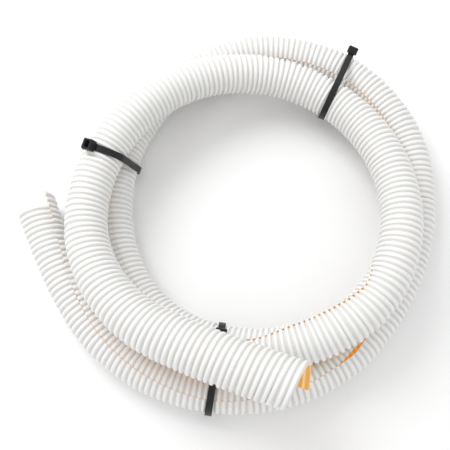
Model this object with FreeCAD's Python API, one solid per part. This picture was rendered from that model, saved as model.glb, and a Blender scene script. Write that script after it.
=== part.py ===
"""Corrugated hose coiled flat in two and a quarter turns and held by three cable ties.

Millimetres, +Z up. The origin is on the floor under the middle of the coil's box.
"""
import FreeCAD, Part

import math
import os

Vector = FreeCAD.Vector

# The hose: its outside is measured over the ribs, its bore is the clear way inside them.
HOSE_OUTER = 47.0
HOSE_BORE = 40.0
MOUTH_LENGTH = 30.0

# The coil winds clockwise from the front mouth, seen from above. Each point of the route is given by
# its distance from the coil's axis and its height, one point every ROUTE_STEP degrees.
COIL_AXIS = Vector(19.18, -3.47, 0.0)
ROUTE_START = -77.0
ROUTE_STEP = 29.4
ROUTE = [
    (214.5, 112.0), (183.0, 101.0), (189.0, 88.0), (188.0, 75.0), (176.0, 74.0), (169.0, 75.0),
    (171.0, 64.0), (179.0, 48.0), (182.0, 43.0), (180.0, 57.0), (182.0, 72.0), (187.0, 75.0),
    (178.0, 63.0), (169.0, 45.0), (166.0, 31.0), (161.0, 26.4), (162.0, 26.5), (176.0, 26.5),
    (202.0, 26.4), (227.0, 26.4), (236.0, 26.4), (227.0, 26.4), (207.0, 26.4), (201.0, 26.4),
    (211.0, 26.4), (216.0, 26.4), (223.0, 26.4), (228.0, 26.4), (246.0, 26.4),
]
BEND_SHARE = 0.45

# The stretches that the hose is divided into, each between the middles of two runs of the route.
FRONT_HINGE_RUN = 3
BACK_HINGE_RUN = 26
STRETCHES = {
    "hose_turn_1_upper_left": (FRONT_HINGE_RUN, 6),
    "hose_turn_1_upper_right": (6, 9),
    "hose_turn_1_lower_right": (9, 12),
    "hose_turn_2_lower_left": (12, 15),
    "hose_turn_2_upper_left": (15, 18),
    "hose_turn_2_upper_right": (18, 21),
    "hose_turn_2_lower_right": (21, 24),
    "hose_turn_3_bottom": (24, BACK_HINGE_RUN),
}

# The cable ties: name, a point of the strap's plane, the plane's heading and its lean, the strand that
# the head sits on, how far round that strand it sits from the level, and how far the cut end stands
# out of the head.
STRAP_WIDTH = 7.6
STRAP_THICKNESS = 1.2
STRAP_CLEARANCE = 1.5
TIES = [
    ("tie_upper_right", Vector(125.2, 136.3, 45.0), 65.0, 3.8, "outer", 30.0, 0.3),
    ("tie_left", Vector(-141.6, 50.6, 74.2), 160.4, -12.6, "upper", 68.0, 4.0),
    ("tie_bottom", Vector(-10.5, -164.7, 44.8), 261.0, -1.5, "inner", 106.0, 0.3),
]

# The tie's head: a block with a window through it for the cut end and the pawl that grips it.
HEAD_LENGTH = 13.0
HEAD_WIDTH = 12.4
HEAD_HEIGHT = 8.5
HEAD_GAP = 0.05
HEAD_EDGE = 1.0
WINDOW_WIDTH = 8.2
WINDOW_START = -1.3
WINDOW_END = 3.6
END_START = -0.8
PAWL_WIDTH = 6.6
PAWL_PIVOT = Vector(3.0, 0.0, 1.5)
PAWL_PROFILE = [(2.6, 0.9), (3.35, 0.9), (3.35, 2.3), (1.8, 6.4), (0.95, 6.0), (0.95, 5.2), (2.4, 2.0)]

# The face that cuts the strands at a tie reaches this far inwards, outwards, and up and down.
CUT_INWARD = 40.0
CUT_OUTWARD = 90.0
CUT_HEIGHT = 80.0


def route_points():
    """The points of the hose's route, from the front mouth to the back mouth."""
    points = []
    for number, (radius, height) in enumerate(ROUTE):
        angle = math.radians(ROUTE_START - number * ROUTE_STEP)
        level = Vector(radius * math.cos(angle), radius * math.sin(angle), height)
        points.append(COIL_AXIS + level)
    return points


POINTS = route_points()


def run_middle(run):
    """The middle of the straight run from one route point to the next."""
    return (POINTS[run] + POINTS[run + 1]) * 0.5


def direction(start, end):
    """The unit vector from one point to another."""
    step = end - start
    return step.normalize()


def bend(number):
    """The arc that rounds a route point: its start, middle, end and radius."""
    before = POINTS[number] - POINTS[number - 1]
    after = POINTS[number + 1] - POINTS[number]
    half_turn = before.getAngle(after) / 2.0
    setback = BEND_SHARE * min(before.Length, after.Length)
    radius = setback / math.tan(half_turn)
    incoming = direction(POINTS[number - 1], POINTS[number])
    outgoing = direction(POINTS[number], POINTS[number + 1])
    inward = (outgoing - incoming).normalize()
    start = POINTS[number] - incoming * setback
    end = POINTS[number] + outgoing * setback
    middle = POINTS[number] + inward * (radius / math.cos(half_turn) - radius)
    return start, middle, end, radius


def path(start, first, last, end):
    """Straight runs joined by tangent arcs, round the route points from first to last."""
    edges = []
    here = start
    for number in range(first, last + 1):
        arc_start, arc_middle, arc_end, _ = bend(number)
        edges.append(Part.LineSegment(here, arc_start).toShape())
        edges.append(Part.Arc(arc_start, arc_middle, arc_end).toShape())
        here = arc_end
    edges.append(Part.LineSegment(here, end).toShape())
    return Part.Wire(edges)


def tube(wire, start, along):
    """A hollow hose stretch swept along a path."""
    shells = []
    for diameter in (HOSE_OUTER, HOSE_BORE):
        ring = Part.Wire(Part.makeCircle(diameter / 2.0, start, along))
        shells.append(wire.makePipeShell([ring], True, False))
    stretch = shells[0].cut(shells[1])
    section = math.pi / 4.0 * (HOSE_OUTER ** 2 - HOSE_BORE ** 2)
    print(f"  tube volume over section x length: {stretch.Volume / (section * wire.Length):.4f}")
    return stretch


def mouth(tip, inner):
    """A short straight tube that ends the hose at tip, running towards inner."""
    along = direction(tip, inner)
    outside = Part.makeCylinder(HOSE_OUTER / 2.0, MOUTH_LENGTH, tip, along)
    inside = Part.makeCylinder(HOSE_BORE / 2.0, MOUTH_LENGTH, tip, along)
    return outside.cut(inside)


def hose_nodes():
    """Every stretch of the hose by name."""
    last = len(POINTS) - 1
    front_along = direction(POINTS[0], POINTS[1])
    back_along = direction(POINTS[last], POINTS[last - 1])
    front_start = POINTS[0] + front_along * MOUTH_LENGTH
    back_start = POINTS[last] + back_along * MOUTH_LENGTH
    front_wire = path(front_start, 1, FRONT_HINGE_RUN, run_middle(FRONT_HINGE_RUN))
    back_wire = path(run_middle(BACK_HINGE_RUN), BACK_HINGE_RUN + 1, last - 1, back_start)
    back_wire_along = direction(POINTS[BACK_HINGE_RUN], POINTS[BACK_HINGE_RUN + 1])
    nodes = {
        "hose_front_mouth": mouth(POINTS[0], POINTS[1]),
        "hose_front_tail": tube(front_wire, front_start, front_along),
        "hose_back_tail": tube(back_wire, run_middle(BACK_HINGE_RUN), back_wire_along),
        "hose_back_mouth": mouth(POINTS[last], POINTS[last - 1]),
    }
    for name, (first_run, last_run) in STRETCHES.items():
        wire = path(run_middle(first_run), first_run + 1, last_run, run_middle(last_run))
        along = direction(POINTS[first_run], POINTS[first_run + 1])
        nodes[name] = tube(wire, run_middle(first_run), along)
    return nodes


def strap_directions(heading, lean):
    """The directions of a strap's plane: outwards, square to it, and up along it."""
    turn = math.radians(heading)
    tilt = math.radians(lean)
    outward = Vector(math.cos(turn), math.sin(turn), 0)
    level = Vector(0, 0, 1).cross(outward)
    across = level * math.cos(tilt) + Vector(0, 0, math.sin(tilt))
    return outward, across, outward.cross(across)


def strand_centres(point, outward, rise):
    """Where the two lowest strands near a point cross the strap's plane."""
    corners = [
        point - outward * CUT_INWARD - rise * CUT_HEIGHT,
        point + outward * CUT_OUTWARD - rise * CUT_HEIGHT,
        point + outward * CUT_OUTWARD + rise * CUT_HEIGHT,
        point - outward * CUT_INWARD + rise * CUT_HEIGHT,
        point - outward * CUT_INWARD - rise * CUT_HEIGHT,
    ]
    plane = Part.Face(Part.makePolygon(corners))
    last = len(POINTS) - 1
    whole = path(POINTS[0], 1, last - 1, POINTS[last])
    crossings = [vertex.Point for vertex in whole.section(plane).Vertexes]
    return sorted(crossings, key=lambda point: point.z)[:2]


def head_strand(centres, outward, side):
    """The strand that a tie's head sits on."""
    inner, outer = sorted(centres, key=lambda point: (point - COIL_AXIS).dot(outward))
    return {"inner": inner, "outer": outer, "upper": centres[-1]}[side]


def stadium(centres, radius, across, width):
    """The outline of a belt round two equal circles, as a solid of the given width."""
    shift = across * (-width / 2.0)
    span = direction(centres[0], centres[1])
    side = span.cross(across) * radius
    discs = [Part.makeCylinder(radius, width, centre + shift, across) for centre in centres]
    corners = [
        centres[0] + shift + side,
        centres[1] + shift + side,
        centres[1] + shift - side,
        centres[0] + shift - side,
        centres[0] + shift + side,
    ]
    middle = Part.Face(Part.makePolygon(corners)).extrude(across * width)
    return discs[0].fuse([discs[1], middle]).removeSplitter()


def head_placement(centre, outward, rise, turn):
    """The frame of a tie's head: X along the strap, Y across it, Z away from the hose."""
    away = outward * math.cos(turn) + rise * math.sin(turn)
    along = outward * -math.sin(turn) + rise * math.cos(turn)
    across = away.cross(along)
    surface = HOSE_OUTER / 2.0 + STRAP_CLEARANCE + STRAP_THICKNESS
    rotation = FreeCAD.Rotation(along, across, away, "ZXY")
    return FreeCAD.Placement(centre + away * surface, rotation)


def head():
    """The tie's head at its own origin."""
    corner = Vector(-HEAD_LENGTH / 2.0, -HEAD_WIDTH / 2.0, HEAD_GAP)
    block = Part.makeBox(HEAD_LENGTH, HEAD_WIDTH, HEAD_HEIGHT, corner)
    top = HEAD_GAP + HEAD_HEIGHT
    outer_edges = [edge for edge in block.Edges if edge.BoundBox.ZMax > top - HEAD_GAP]
    rounded = block.makeChamfer(HEAD_EDGE, outer_edges)
    window_size = WINDOW_END - WINDOW_START
    window_corner = Vector(WINDOW_START, -WINDOW_WIDTH / 2.0, 0.0)
    window = Part.makeBox(window_size, WINDOW_WIDTH, 2.0 * HEAD_HEIGHT, window_corner)
    return rounded.cut(window)


def cut_end(proud):
    """The cut end of the strap, standing in the head's window."""
    length = STRAP_THICKNESS / 2.0 + HEAD_GAP + HEAD_HEIGHT + proud
    corner = Vector(END_START, -STRAP_WIDTH / 2.0, -STRAP_THICKNESS / 2.0)
    return Part.makeBox(STRAP_THICKNESS, STRAP_WIDTH, length, corner)


def pawl():
    """The wedge that grips the cut end, hinged on the window's far wall."""
    points = [Vector(x, -PAWL_WIDTH / 2.0, z) for x, z in PAWL_PROFILE]
    points.append(points[0])
    return Part.Face(Part.makePolygon(points)).extrude(Vector(0, PAWL_WIDTH, 0))


def tie_nodes():
    """Each tie's strap, head and pawl by name, and the frame of each head."""
    nodes = {}
    frames = {}
    for name, point, heading, lean, side, head_turn, proud in TIES:
        outward, across, rise = strap_directions(heading, lean)
        centres = strand_centres(point, outward, rise)
        inside_radius = HOSE_OUTER / 2.0 + STRAP_CLEARANCE
        belt = stadium(centres, inside_radius + STRAP_THICKNESS, across, STRAP_WIDTH)
        belt = belt.cut(stadium(centres, inside_radius, across, STRAP_WIDTH))
        strand = head_strand(centres, outward, side)
        place = head_placement(strand, outward, rise, math.radians(head_turn))
        pieces = {"strap": cut_end(proud), "head": head(), "pawl": pawl()}
        for piece in pieces.values():
            piece.Placement = place
        nodes[f"{name}_strap"] = belt.fuse(pieces["strap"])
        nodes[f"{name}_head"] = pieces["head"]
        nodes[f"{name}_pawl"] = pieces["pawl"]
        frames[name] = place
    return nodes, frames


def export(nodes):
    """Write every node as one STEP file and report the box of the whole."""
    os.makedirs("parts", exist_ok=True)
    whole = FreeCAD.BoundBox()
    for name, shape in nodes.items():
        shape.exportStep(f"parts/{name}.step")
        whole.add(shape.optimalBoundingBox(False))
        print(f"{name}: {len(shape.Solids)} solid, valid {shape.isValid()}, {shape.Volume / 1000.0:.1f} cm3")
    print(f"box X {whole.XMin:.2f} {whole.XMax:.2f} Y {whole.YMin:.2f} {whole.YMax:.2f}", end=" ")
    print(f"Z {whole.ZMin:.2f} {whole.ZMax:.2f}")


def report_bends():
    """Print the bend radii, which stay over two and a half hose diameters."""
    radii = [bend(number)[3] for number in range(1, len(POINTS) - 1)]
    print("bend radii:", ", ".join(f"{radius:.0f}" for radius in radii))
    print(f"tightest bend {min(radii) / HOSE_OUTER:.2f} diameters")


HOSE = hose_nodes()
TIE_PIECES, HEAD_FRAMES = tie_nodes()
report_bends()
export({**HOSE, **TIE_PIECES})
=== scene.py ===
"""A slit corrugated hose, coiled flat and held by three cable ties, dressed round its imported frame."""

import math

import bpy
import numpy as np
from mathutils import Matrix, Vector


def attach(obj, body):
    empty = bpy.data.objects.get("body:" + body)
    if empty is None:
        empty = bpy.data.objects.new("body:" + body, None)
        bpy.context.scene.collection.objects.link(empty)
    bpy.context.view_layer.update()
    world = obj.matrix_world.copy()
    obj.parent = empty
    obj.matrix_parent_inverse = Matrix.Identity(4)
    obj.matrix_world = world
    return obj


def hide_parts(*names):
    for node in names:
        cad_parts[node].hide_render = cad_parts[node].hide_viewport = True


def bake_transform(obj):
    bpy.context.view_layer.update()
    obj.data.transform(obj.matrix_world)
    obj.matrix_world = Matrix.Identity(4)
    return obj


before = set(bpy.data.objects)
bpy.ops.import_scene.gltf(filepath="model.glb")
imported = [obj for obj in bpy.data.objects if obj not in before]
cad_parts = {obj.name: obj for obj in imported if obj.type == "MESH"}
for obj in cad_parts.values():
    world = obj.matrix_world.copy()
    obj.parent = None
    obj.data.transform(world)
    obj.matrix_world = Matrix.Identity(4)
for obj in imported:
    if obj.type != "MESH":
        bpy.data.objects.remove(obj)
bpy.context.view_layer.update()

# The hose, in metres.
OUTER = 0.047
WALL = 0.0009
RIB_DEPTH = 0.0024
RIB_COUNT = 412
CIRCUMFERENCE = math.pi * OUTER

# Its route: the points (radius, height) of one turn after another, this far apart about the axis.
COIL_AXIS = (0.01918, -0.00347)
ROUTE_START = -77.0
ROUTE_STEP = 29.4
ROUTE = [
    (0.2145, 0.1120), (0.183, 0.1010), (0.189, 0.0880), (0.188, 0.0750), (0.176, 0.0740),
    (0.169, 0.0750), (0.171, 0.0640), (0.179, 0.0480), (0.182, 0.0430), (0.180, 0.0570),
    (0.182, 0.0720), (0.187, 0.0750), (0.178, 0.0630), (0.169, 0.0450), (0.166, 0.0310),
    (0.161, 0.0264), (0.162, 0.0265), (0.176, 0.0265), (0.202, 0.0264), (0.227, 0.0264),
    (0.236, 0.0264), (0.227, 0.0264), (0.207, 0.0264), (0.201, 0.0264), (0.211, 0.0264),
    (0.216, 0.0264), (0.223, 0.0264), (0.228, 0.0264), (0.246, 0.0264),
]

# The slit along the hose: (metres from the front mouth, degrees round the section), where 0 faces
# outwards from the coil, 90 up and 180 inwards.
SLIT_ANGLE = [
    (0.0, 290), (0.9, 270), (1.0, 135), (1.08, 180), (1.15, 110), (1.5, 90), (1.7, 135), (2.0, 130),
    (2.2, 90), (2.4, 60), (2.6, 100), (2.7, 135),
]
# How far apart its lips stand, and how far one lip is pushed along the hose past the other.
SLIT_GAP = [
    (0.0, 0.0176), (0.1, 0.022), (0.15, 0.020), (0.2, 0.013), (0.25, 0.007), (0.33, 0.0004),
    (1.0, 0.0006), (1.1, 0.0020), (1.2, 0.0012), (1.25, 0.0003), (2.22, 0.0003), (2.24, 0.0060),
    (2.26, 0.0003), (2.6, 0.0004), (2.72, 0.0020),
]
LIP_SHIFT = [
    (0.00, -0.0210), (0.10, -0.0132), (0.30, -0.0066), (0.45, 0.0), (0.90, 0.0), (1.00, 0.0033),
    (1.20, 0.0033), (1.28, 0.0), (1.62, 0.0), (1.72, 0.0033), (2.27, 0.0033), (2.33, 0.0010),
    (2.54, 0.0008), (2.60, -0.0040), (2.72, -0.0200),
]
# How far round the section the line lies that this push leaves where it was, from one lip to the other.
STILL_LINE = [(0.00, 0.5), (2.50, 0.5), (2.66, 0.8)]

# Where the hose is parted into pieces, in whole ribs from the front mouth.
PARTS = [
    ("hose_front_end", 0, 58), ("hose_upper_turn", 58, 160), ("hose_inner_turn", 160, 262),
    ("hose_outer_turn", 262, 358), ("hose_back_end", 358, 412),
]
STANDS_FOR = {
    "hose_front_end": ["hose_front_mouth", "hose_front_tail"],
    "hose_upper_turn": ["hose_turn_1_upper_left", "hose_turn_1_upper_right", "hose_turn_1_lower_right"],
    "hose_inner_turn": ["hose_turn_2_lower_left", "hose_turn_2_upper_left"],
    "hose_outer_turn": ["hose_turn_2_upper_right", "hose_turn_2_lower_right", "hose_turn_3_bottom"],
    "hose_back_end": ["hose_back_tail", "hose_back_mouth"],
}

# One rib from groove to groove: (share of the pitch, share of the depth below the crest).
RIB_PROFILE = [
    (0.0, 1.0), (0.115, 0.93), (0.175, 0.52), (0.265, 0.14), (0.42, 0.0), (0.58, 0.0),
    (0.735, 0.14), (0.825, 0.52), (0.885, 0.93),
]
OUTSIDE_POINTS = 64
INSIDE_POINTS = 26

# The surface: how bright the painted glow on the inside wall is, standing for light through the wall, and
# how high its grain stands, in metres.
GLOW = 0.21
GRAIN_HEIGHT = 0.0002
# Two turns this near each other or nearer, in metres, get a painted warm glow on the wall between them,
# standing for light bounced between the turns.
NOOK_REACH = 0.012

# Where the two loose ends start and stop bending, in metres from the front mouth; the script looks their
# centres up there but does not bend them.
FRONT_BEND = (0.345, 0.235)
BACK_BEND = (2.40, 2.52)

rng = np.random.default_rng(7)


def smooth_table(table, places):
    """The table's value at each place, eased from one row to the next."""
    at = np.array([row[0] for row in table])
    value = np.array([row[1] for row in table])
    fine = np.linspace(-0.1, 2.85, 2951)
    rough = np.interp(fine, at, value)
    kernel = np.hanning(37)
    eased = np.convolve(np.pad(rough, 18, mode="edge"), kernel / kernel.sum(), mode="valid")
    return np.interp(places, fine, eased)


def route_line():
    """Points close together along the route's spline."""
    curve = bpy.data.curves.new("route", "CURVE")
    curve.dimensions = "3D"
    spline = curve.splines.new("NURBS")
    spline.points.add(len(ROUTE) - 1)
    for number, (radius, height) in enumerate(ROUTE):
        angle = math.radians(ROUTE_START - number * ROUTE_STEP)
        x = COIL_AXIS[0] + radius * math.cos(angle)
        y = COIL_AXIS[1] + radius * math.sin(angle)
        spline.points[number].co = (x, y, height, 1.0)
    spline.order_u = 3
    spline.use_endpoint_u = True
    spline.resolution_u = 64
    holder = bpy.data.objects.new("route", curve)
    mesh = bpy.data.meshes.new_from_object(holder)
    line = np.array([vertex.co for vertex in mesh.vertices], float)
    bpy.data.meshes.remove(mesh)
    bpy.data.objects.remove(holder)
    bpy.data.curves.remove(curve)
    return line


LINE = route_line()
ALONG = np.concatenate([[0.0], np.cumsum(np.linalg.norm(np.diff(LINE, axis=0), axis=1))])
LENGTH = ALONG[-1]
PITCH = LENGTH / RIB_COUNT


def unit(vectors):
    """The same vectors at length 1."""
    return vectors / np.linalg.norm(vectors, axis=-1, keepdims=True)


def follow(places):
    """Centre, forward, outward and upward directions of the hose at each distance along it."""
    held = np.clip(places, 0.0, LENGTH)
    forward_line = unit(np.gradient(LINE, ALONG, axis=0))
    centre = np.stack([np.interp(held, ALONG, LINE[:, k]) for k in range(3)], axis=-1)
    forward = unit(np.stack([np.interp(held, ALONG, forward_line[:, k]) for k in range(3)], axis=-1))
    centre = centre + forward * (places - held)[..., None]
    outward = centre - np.array([*COIL_AXIS, 0.0])
    outward[..., 2] = 0.0
    outward = unit(outward - (outward * forward).sum(-1, keepdims=True) * forward)
    return centre, forward, outward, np.cross(forward, outward)


def stations(first, last):
    """The distances and depths of the rings from one whole rib to another, grooves at both ends."""
    places = []
    depths = []
    for rib in range(first, last):
        for share, depth in RIB_PROFILE:
            places.append((rib + share) * PITCH)
            depths.append(depth)
    places.append(last * PITCH)
    depths.append(RIB_PROFILE[0][1])
    return np.array(places), np.array(depths)


RIB_SWELL = rng.normal(0.0, 0.00012, RIB_COUNT + 2)
RIB_LEAN = rng.normal(0.0, 0.00035, RIB_COUNT + 2)


def wall_rings(first, last):
    """Rings of points round the wall: outside from lip to lip, then back inside."""
    places, depths = stations(first, last)
    turn = np.concatenate([
        np.linspace(0.0, 1.0, OUTSIDE_POINTS),
        np.linspace(1.0, 0.0, INSIDE_POINTS),
    ])
    inside = np.concatenate([np.zeros(OUTSIDE_POINTS), np.ones(INSIDE_POINTS)])
    gap = smooth_table(SLIT_GAP, places)[:, None]
    slit = np.radians(smooth_table(SLIT_ANGLE, places))[:, None]
    shift = smooth_table(LIP_SHIFT, places)[:, None]
    still = smooth_table(STILL_LINE, places)[:, None]
    rib = np.clip((places / PITCH).astype(int), 0, RIB_COUNT)
    radius = (CIRCUMFERENCE + gap) / (2.0 * math.pi) + RIB_SWELL[rib][:, None]
    radius = radius - RIB_DEPTH * depths[:, None] - WALL * inside
    opening = gap / radius
    angle = slit + opening / 2.0 + turn * (2.0 * math.pi - opening)
    lean = RIB_LEAN[rib][:, None] * np.sin(angle - slit)
    centre, forward, outward, upward = follow(places[:, None] + shift * (turn - still) + lean)
    across = np.cos(angle)[..., None] * outward + np.sin(angle)[..., None] * upward
    return places, depths, centre + radius[..., None] * across, inside


def ring_faces(rows, count):
    """Quads between neighbouring closed rings."""
    number = np.arange(rows * count).reshape(rows, count)
    here = number[:-1]
    there = number[1:]
    sides = np.stack([here, np.roll(here, -1, 1), np.roll(there, -1, 1), there], axis=-1)
    return sides.reshape(-1, 4)


def end_faces(row, count, flip):
    """The wall's cut edge at one end, as quads between the outside and the inside points."""
    outer = row * count + np.arange(OUTSIDE_POINTS)
    inner = row * count + OUTSIDE_POINTS + INSIDE_POINTS - 1 - np.arange(INSIDE_POINTS)
    reach = np.linspace(0, INSIDE_POINTS - 1, OUTSIDE_POINTS).round().astype(int)
    faces = []
    for k in range(OUTSIDE_POINTS - 1):
        a = inner[reach[k]]
        b = inner[reach[k + 1]]
        face = [outer[k], outer[k + 1], b] + ([a] if a != b else [])
        faces.append(face[::-1] if flip else face)
    return faces


def closeness(places, points):
    """How close each point lies to another turn of the hose: 1 where they touch, 0 from 12 mm off."""
    middle, forward, _, _ = follow(places)
    line = LINE[::8]
    along = ALONG[::8]
    line_forward = unit(np.gradient(line, along, axis=0))
    far = np.linalg.norm(middle[:, None] - line[None], axis=2)
    nearest = np.full(points.shape[:2], 1.0)
    for side in (-1.0, 1.0):
        other = np.where(side * (along[None] - places[:, None]) > 0.3, far, 9.0)
        best = other.argmin(1)
        offset = points - line[best][:, None]
        direction = line_forward[best][:, None]
        offset = offset - (offset * direction).sum(-1, keepdims=True) * direction
        distance = np.linalg.norm(offset, axis=2) - OUTER / 2.0
        nearest = np.minimum(nearest, np.where(other.min(1)[:, None] < 0.12, distance, 1.0))
    return np.clip(1.0 - nearest / NOOK_REACH, 0.0, 1.0) ** 2


def hose_part(name, first, last):
    """One piece of the hose between two whole ribs, with the attributes that its colour, its painted shade
    and its painted glow follow.
    """
    places, depths, points, inside = wall_rings(first, last)
    rows, count = points.shape[:2]
    faces = ring_faces(rows, count).tolist()
    faces += end_faces(0, count, True)
    faces += end_faces(rows - 1, count, False)
    mesh = bpy.data.meshes.new(name)
    mesh.from_pydata(points.reshape(-1, 3).tolist(), [], faces)
    mesh.update()
    mesh.shade_smooth()
    mesh.set_sharp_from_angle(angle=math.radians(62.0))
    lining = mesh.attributes.new("lining", "FLOAT", "POINT")
    lining.data.foreach_set("value", np.tile(inside, rows).astype(np.float32))
    groove = mesh.attributes.new("groove", "FLOAT", "POINT")
    groove.data.foreach_set("value", np.repeat(depths, count).astype(np.float32))
    nook = mesh.attributes.new("nook", "FLOAT", "POINT")
    nook.data.foreach_set("value", closeness(places, points).astype(np.float32).ravel())
    piece = bpy.data.objects.new(name, mesh)
    bpy.context.scene.collection.objects.link(piece)
    return piece


def new_material(name, roughness):
    """A material with its nodes, links and principled shader."""
    material = bpy.data.materials.new(name)
    material.use_nodes = True
    nodes = material.node_tree.nodes
    shader = nodes["Principled BSDF"]
    shader.inputs["Roughness"].default_value = roughness
    return material, nodes, material.node_tree.links, shader


def attribute(nodes, name):
    """The output of a node that reads one of the hose's own attributes."""
    reader = nodes.new("ShaderNodeAttribute")
    reader.attribute_name = name
    return reader.outputs["Fac"]


def ramp(nodes, links, factor, low, high):
    """A colour between two ends, led by a factor."""
    colours = nodes.new("ShaderNodeValToRGB")
    colours.color_ramp.elements[0].color = low
    colours.color_ramp.elements[1].color = high
    links.new(factor, colours.inputs["Fac"])
    return colours.outputs["Color"]


def blended(nodes, links, factor, first, second):
    """Two colours mixed by a factor; the second is a plain colour or another node's output."""
    mix = nodes.new("ShaderNodeMix")
    mix.data_type = "RGBA"
    links.new(factor, mix.inputs["Factor"])
    links.new(first, mix.inputs["A"])
    if isinstance(second, tuple):
        mix.inputs["B"].default_value = second
    else:
        links.new(second, mix.inputs["B"])
    return mix.outputs["Result"]


def grained(nodes, links, shader, scale, detail, strength):
    """A fine grain on the surface; gives back the noise that it is made from."""
    where = nodes.new("ShaderNodeTexCoord")
    grain = nodes.new("ShaderNodeTexNoise")
    grain.inputs["Scale"].default_value = scale
    grain.inputs["Detail"].default_value = detail
    links.new(where.outputs["Object"], grain.inputs["Vector"])
    bump = nodes.new("ShaderNodeBump")
    bump.inputs["Strength"].default_value = strength
    bump.inputs["Distance"].default_value = GRAIN_HEIGHT
    links.new(grain.outputs["Fac"], bump.inputs["Height"])
    links.new(bump.outputs["Normal"], shader.inputs["Normal"])
    return grain.outputs["Fac"]


def hose_plastic():
    """Thin white plastic, with painted shade greying the grooves, a painted amber glow inside, and a
    painted warm glow where two turns lie together.
    """
    material, nodes, links, shader = new_material("hose_plastic", 0.42)
    # painted shade: the grooves are coloured greyer than the crests, standing for the shade that falls in
    # them
    skin_with_groove_shade = ramp(nodes, links, attribute(nodes, "groove"), (0.87, 0.87, 0.865, 1.0), (0.74, 0.73, 0.70, 1.0))
    # painted light: a warm orange glow on the wall where it lies near another turn
    skin_and_nook_glow = blended(nodes, links, attribute(nodes, "nook"), skin_with_groove_shade, (0.90, 0.64, 0.32, 1.0))
    lining = attribute(nodes, "lining")
    # painted light: an amber glow on the inside wall, standing for light through the thin wall, with
    # painted shade darkening its grooves
    inner_glow_and_groove_shade = ramp(nodes, links, attribute(nodes, "groove"), (0.62, 0.42, 0.17, 1.0), (0.92, 0.72, 0.40, 1.0))
    colour = blended(nodes, links, lining, skin_and_nook_glow, inner_glow_and_groove_shade)
    links.new(colour, shader.inputs["Base Color"])
    # painted glow: the inside wall emits warm light, standing for light coming through the thin wall
    glow = nodes.new("ShaderNodeMath")
    glow.operation = "MULTIPLY"
    glow.inputs[1].default_value = GLOW
    links.new(lining, glow.inputs[0])
    shader.inputs["Emission Color"].default_value = (1.0, 0.56, 0.14, 1.0)
    links.new(glow.outputs["Value"], shader.inputs["Emission Strength"])
    grained(nodes, links, shader, 900.0, 3.0, 0.12)
    return material


def tie_nylon():
    """Black moulded nylon, faintly grained."""
    material, nodes, links, shader = new_material("tie_nylon", 0.42)
    grain = grained(nodes, links, shader, 260.0, 4.0, 0.2)
    tint = ramp(nodes, links, grain, (0.008, 0.008, 0.009, 1.0), (0.020, 0.020, 0.022, 1.0))
    links.new(tint, shader.inputs["Base Color"])
    shader.inputs["Specular IOR Level"].default_value = 0.3
    return material


def give(piece, material):
    """Put one material on a piece."""
    piece.data.materials.clear()
    piece.data.materials.append(material)


def centre_points(first, last):
    """The hose's own centreline between two whole ribs."""
    step = 0.002
    count = int((last - first) * PITCH / step)
    centre, _, _, _ = follow(np.linspace(first * PITCH, last * PITCH, count))
    return centre.tolist()


def add_hose():
    """The hose in its pieces; the two ends are fixed in place, and the rest rides on the coil."""
    plastic = hose_plastic()
    for name, first, last in PARTS:
        piece = hose_part(name, first, last)
        give(piece, plastic)
        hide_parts(*STANDS_FOR[name])
        line = centre_points(first, last)
        if name == "hose_front_end":
            start, end = follow(np.array(FRONT_BEND))[0]
            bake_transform(piece)
        elif name == "hose_back_end":
            start, end = follow(np.array(BACK_BEND))[0]
            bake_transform(piece)
        else:
            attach(piece, "coil")


def add_ties():
    """The ties keep their own shapes and take the nylon."""
    nylon = tie_nylon()
    for name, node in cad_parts.items():
        if name.startswith("tie_"):
            give(node, nylon)


def add_studio():
    """A pale floor, and soft light from all round and from the upper left."""
    bpy.ops.mesh.primitive_plane_add(size=12.0, location=(0.0, 0.0, -0.0005))
    floor = bpy.context.object
    floor.name = "floor"
    paint, _, _, shader = new_material("floor_paint", 0.9)
    shader.inputs["Base Color"].default_value = (0.95, 0.95, 0.95, 1.0)
    shader.inputs["Specular IOR Level"].default_value = 0.1
    give(floor, paint)
    world = bpy.data.worlds.new("studio")
    world.use_nodes = True
    world.node_tree.nodes["Background"].inputs["Color"].default_value = (1.0, 1.0, 1.0, 1.0)
    world.node_tree.nodes["Background"].inputs["Strength"].default_value = 0.86
    bpy.context.scene.world = world
    lamp = bpy.data.lights.new("softbox", "AREA")
    lamp.shape = "DISK"
    lamp.size = 1.2
    lamp.energy = 18.0
    softbox = bpy.data.objects.new("softbox", lamp)
    softbox.location = (-0.9, 0.9, 1.5)
    softbox.rotation_euler = (-softbox.location).to_track_quat("-Z", "Y").to_euler()
    bpy.context.scene.collection.objects.link(softbox)


def add_camera():
    data = bpy.data.cameras.new("camera")
    data.lens = 51.8
    data.sensor_width = 36.0
    data.clip_start = 0.01
    camera = bpy.data.objects.new("camera", data)
    camera.location = (-0.0039, -0.2573, 0.756)
    target = Vector((-0.0039, -0.0255, 0.0425))
    camera.rotation_euler = (target - camera.location).to_track_quat("-Z", "Y").to_euler()
    bpy.context.scene.collection.objects.link(camera)
    bpy.context.scene.camera = camera


bpy.context.scene.view_settings.view_transform = "Standard"
bpy.ops.object.select_all(action="DESELECT")
add_hose()
add_ties()
add_studio()
add_camera()
